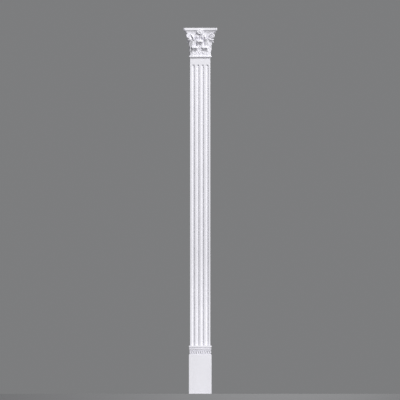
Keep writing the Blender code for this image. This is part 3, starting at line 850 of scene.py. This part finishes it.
def make_capital():
    """The capital as it leaves its mould: every form run together, with soft creases and a flat back."""
    made = [make_bell(), make_abacus()]
    for side, word in ((-1, "left"), (1, "right")):
        corner = Vector((side, -1, 0)).normalized()
        flank = Vector((side, 0, 0))
        made.append(make_leaf("corner_leaf_" + word, "corner_leaf", corner, 0.0))
        made.append(make_leaf("side_leaf_" + word, "side_leaf", flank, -0.5 * SHAFT_DEPTH))
        made.append(make_leaf("lower_leaf_" + word, "lower_leaf", FRONT, side * LOWER_LEAF_X))
        made.append(make_stalk("stalk_" + word, side * STALK_X))
        made += make_scrolls(side, word)
    made.append(make_leaf("middle_leaf", "middle_leaf", FRONT, 0.0))
    made += make_rosette()
    capital = join("fine_capital", made)
    cast = capital.modifiers.new("Cast", "REMESH")
    cast.mode = "VOXEL"
    cast.voxel_size = VOXEL
    soft = capital.modifiers.new("Soft", "SMOOTH")
    soft.factor = 0.5
    soft.iterations = 2
    apply_modifiers(capital)
    cut_at_wall(capital, CAPITAL_FOOT, CAPITAL_TOP)
    triangles = sum(len(face.vertices) - 2 for face in capital.data.polygons)
    if triangles > CAPITAL_TRIANGLES:
        fewer = capital.modifiers.new("Fewer", "DECIMATE")
        fewer.ratio = CAPITAL_TRIANGLES / triangles
        apply_modifiers(capital)
    shade(capital, 50)
    return capital


# Finish


def add_node(tree, kind, **values):
    node = tree.nodes.new(kind)
    for name, value in values.items():
        if name in node.inputs:
            node.inputs[name].default_value = value
        else:
            setattr(node, name, value)
    return node


def white_foam():
    """Rigid foam under a matt white primer: nearly even, with a faint mottle and a fine cast grain."""
    material = bpy.data.materials.new("white_foam")
    material.use_nodes = True
    tree = material.node_tree
    shader = tree.nodes["Principled BSDF"]
    shader.inputs["Metallic"].default_value = 0.0
    shader.inputs["Specular IOR Level"].default_value = 0.35
    place = tree.nodes.new("ShaderNodeTexCoord")
    mottle = add_node(tree, "ShaderNodeTexNoise", Scale=9.0, Detail=3.0, Roughness=0.55)
    tone = tree.nodes.new("ShaderNodeValToRGB")
    tone.color_ramp.elements[0].position = 0.30
    tone.color_ramp.elements[0].color = (0.835, 0.825, 0.873, 1.0)
    tone.color_ramp.elements[1].position = 0.70
    tone.color_ramp.elements[1].color = (0.875, 0.865, 0.913, 1.0)
    spray = add_node(tree, "ShaderNodeTexNoise", Scale=160.0, Detail=4.0, Roughness=0.6)
    dull = add_node(tree, "ShaderNodeMapRange")
    dull.inputs["To Min"].default_value = 0.46
    dull.inputs["To Max"].default_value = 0.62
    grain = add_node(tree, "ShaderNodeTexNoise", Scale=1100.0, Detail=3.0, Roughness=0.5)
    swell = add_node(tree, "ShaderNodeTexNoise", Scale=45.0, Detail=2.0, Roughness=0.5)
    fine = add_node(tree, "ShaderNodeBump", Strength=0.20, Distance=0.0003)
    broad = add_node(tree, "ShaderNodeBump", Strength=0.25, Distance=0.0006)
    connect = tree.links.new
    for noise in (mottle, spray, grain, swell):
        connect(place.outputs["Object"], noise.inputs["Vector"])
    connect(mottle.outputs["Fac"], tone.inputs["Fac"])
    connect(tone.outputs["Color"], shader.inputs["Base Color"])
    connect(spray.outputs["Fac"], dull.inputs["Value"])
    connect(dull.outputs["Result"], shader.inputs["Roughness"])
    connect(swell.outputs["Fac"], broad.inputs["Height"])
    connect(grain.outputs["Fac"], fine.inputs["Height"])
    connect(broad.outputs["Normal"], fine.inputs["Normal"])
    connect(fine.outputs["Normal"], shader.inputs["Normal"])
    return material


def plain(name, colour, roughness):
    material = bpy.data.materials.new(name)
    material.use_nodes = True
    shader = material.node_tree.nodes["Principled BSDF"]
    shader.inputs["Base Color"].default_value = (*colour, 1.0)
    shader.inputs["Roughness"].default_value = roughness
    return material


# Studio


def make_studio():
    """A pale floor slab that the base stands on, with room light all round."""
    top = cad_low[2] - FLOOR_GAP
    near_corner = (-FLOOR_REACH, -FLOOR_FRONT, top - FLOOR_THICKNESS)
    floor = block("floor", near_corner, (FLOOR_REACH, FLOOR_REACH, top))
    floor.data.materials.append(plain("pale_floor", (0.62, 0.62, 0.63), 0.7))
    world = bpy.data.worlds.new("studio")
    bpy.context.scene.world = world
    world.use_nodes = True
    light = world.node_tree.nodes["Background"]
    light.inputs["Color"].default_value = (0.97, 0.98, 1.0, 1.0)
    light.inputs["Strength"].default_value = ROOM_LIGHT


def add_softbox(name, place, aim, width, height, power, spread):
    """A soft studio light, with its sizes in metres, its power in watts and its spread in degrees."""
    lamp = bpy.data.lights.new(name, "AREA")
    lamp.shape = "RECTANGLE"
    lamp.size = width
    lamp.size_y = height
    lamp.energy = power
    lamp.spread = math.radians(spread)
    box = bpy.data.objects.new(name, lamp)
    bpy.context.scene.collection.objects.link(box)
    box.location = place
    box.rotation_euler = (Vector(aim) - Vector(place)).to_track_quat("-Z", "Y").to_euler()


def make_camera():
    """Straight on, without perspective, framed as the photograph frames the pilaster."""
    image_size = 400
    top_pixel = 27.9
    foot_pixel = 393.8
    middle_pixel = 200.2
    pixel = (cad_high[2] - cad_low[2]) / (foot_pixel - top_pixel)
    lens = bpy.data.cameras.new("camera")
    lens.type = "ORTHO"
    lens.ortho_scale = image_size * pixel
    camera = bpy.data.objects.new("camera", lens)
    bpy.context.scene.collection.objects.link(camera)
    x = (image_size / 2 - middle_pixel) * pixel
    z = cad_high[2] - (image_size / 2 - top_pixel) * pixel
    camera.location = (x, -4.0, z)
    camera.rotation_euler = (math.pi / 2, 0.0, 0.0)
    bpy.context.scene.camera = camera


foam = white_foam()
for node, piece in (("shaft", make_shaft()), ("base", make_base()), ("capital", make_capital())):
    piece.data.materials.clear()
    piece.data.materials.append(foam)
    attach(piece, "root")
    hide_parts(node)

make_studio()
add_softbox("key", (1.7, -2.2, 1.3), (0.0, 0.0, -0.65), 0.5, 0.5, 10.4, 65)
add_softbox("high", (0.7, -1.3, 2.2), (0.0, 0.0, 0.86), 0.3, 0.3, 2.5, 50)
add_softbox("low", (0.6, -1.0, -0.2), (0.0, 0.0, -0.95), 0.3, 0.3, 0.32, 50)
make_camera()
bpy.context.scene.view_settings.view_transform = "Standard"
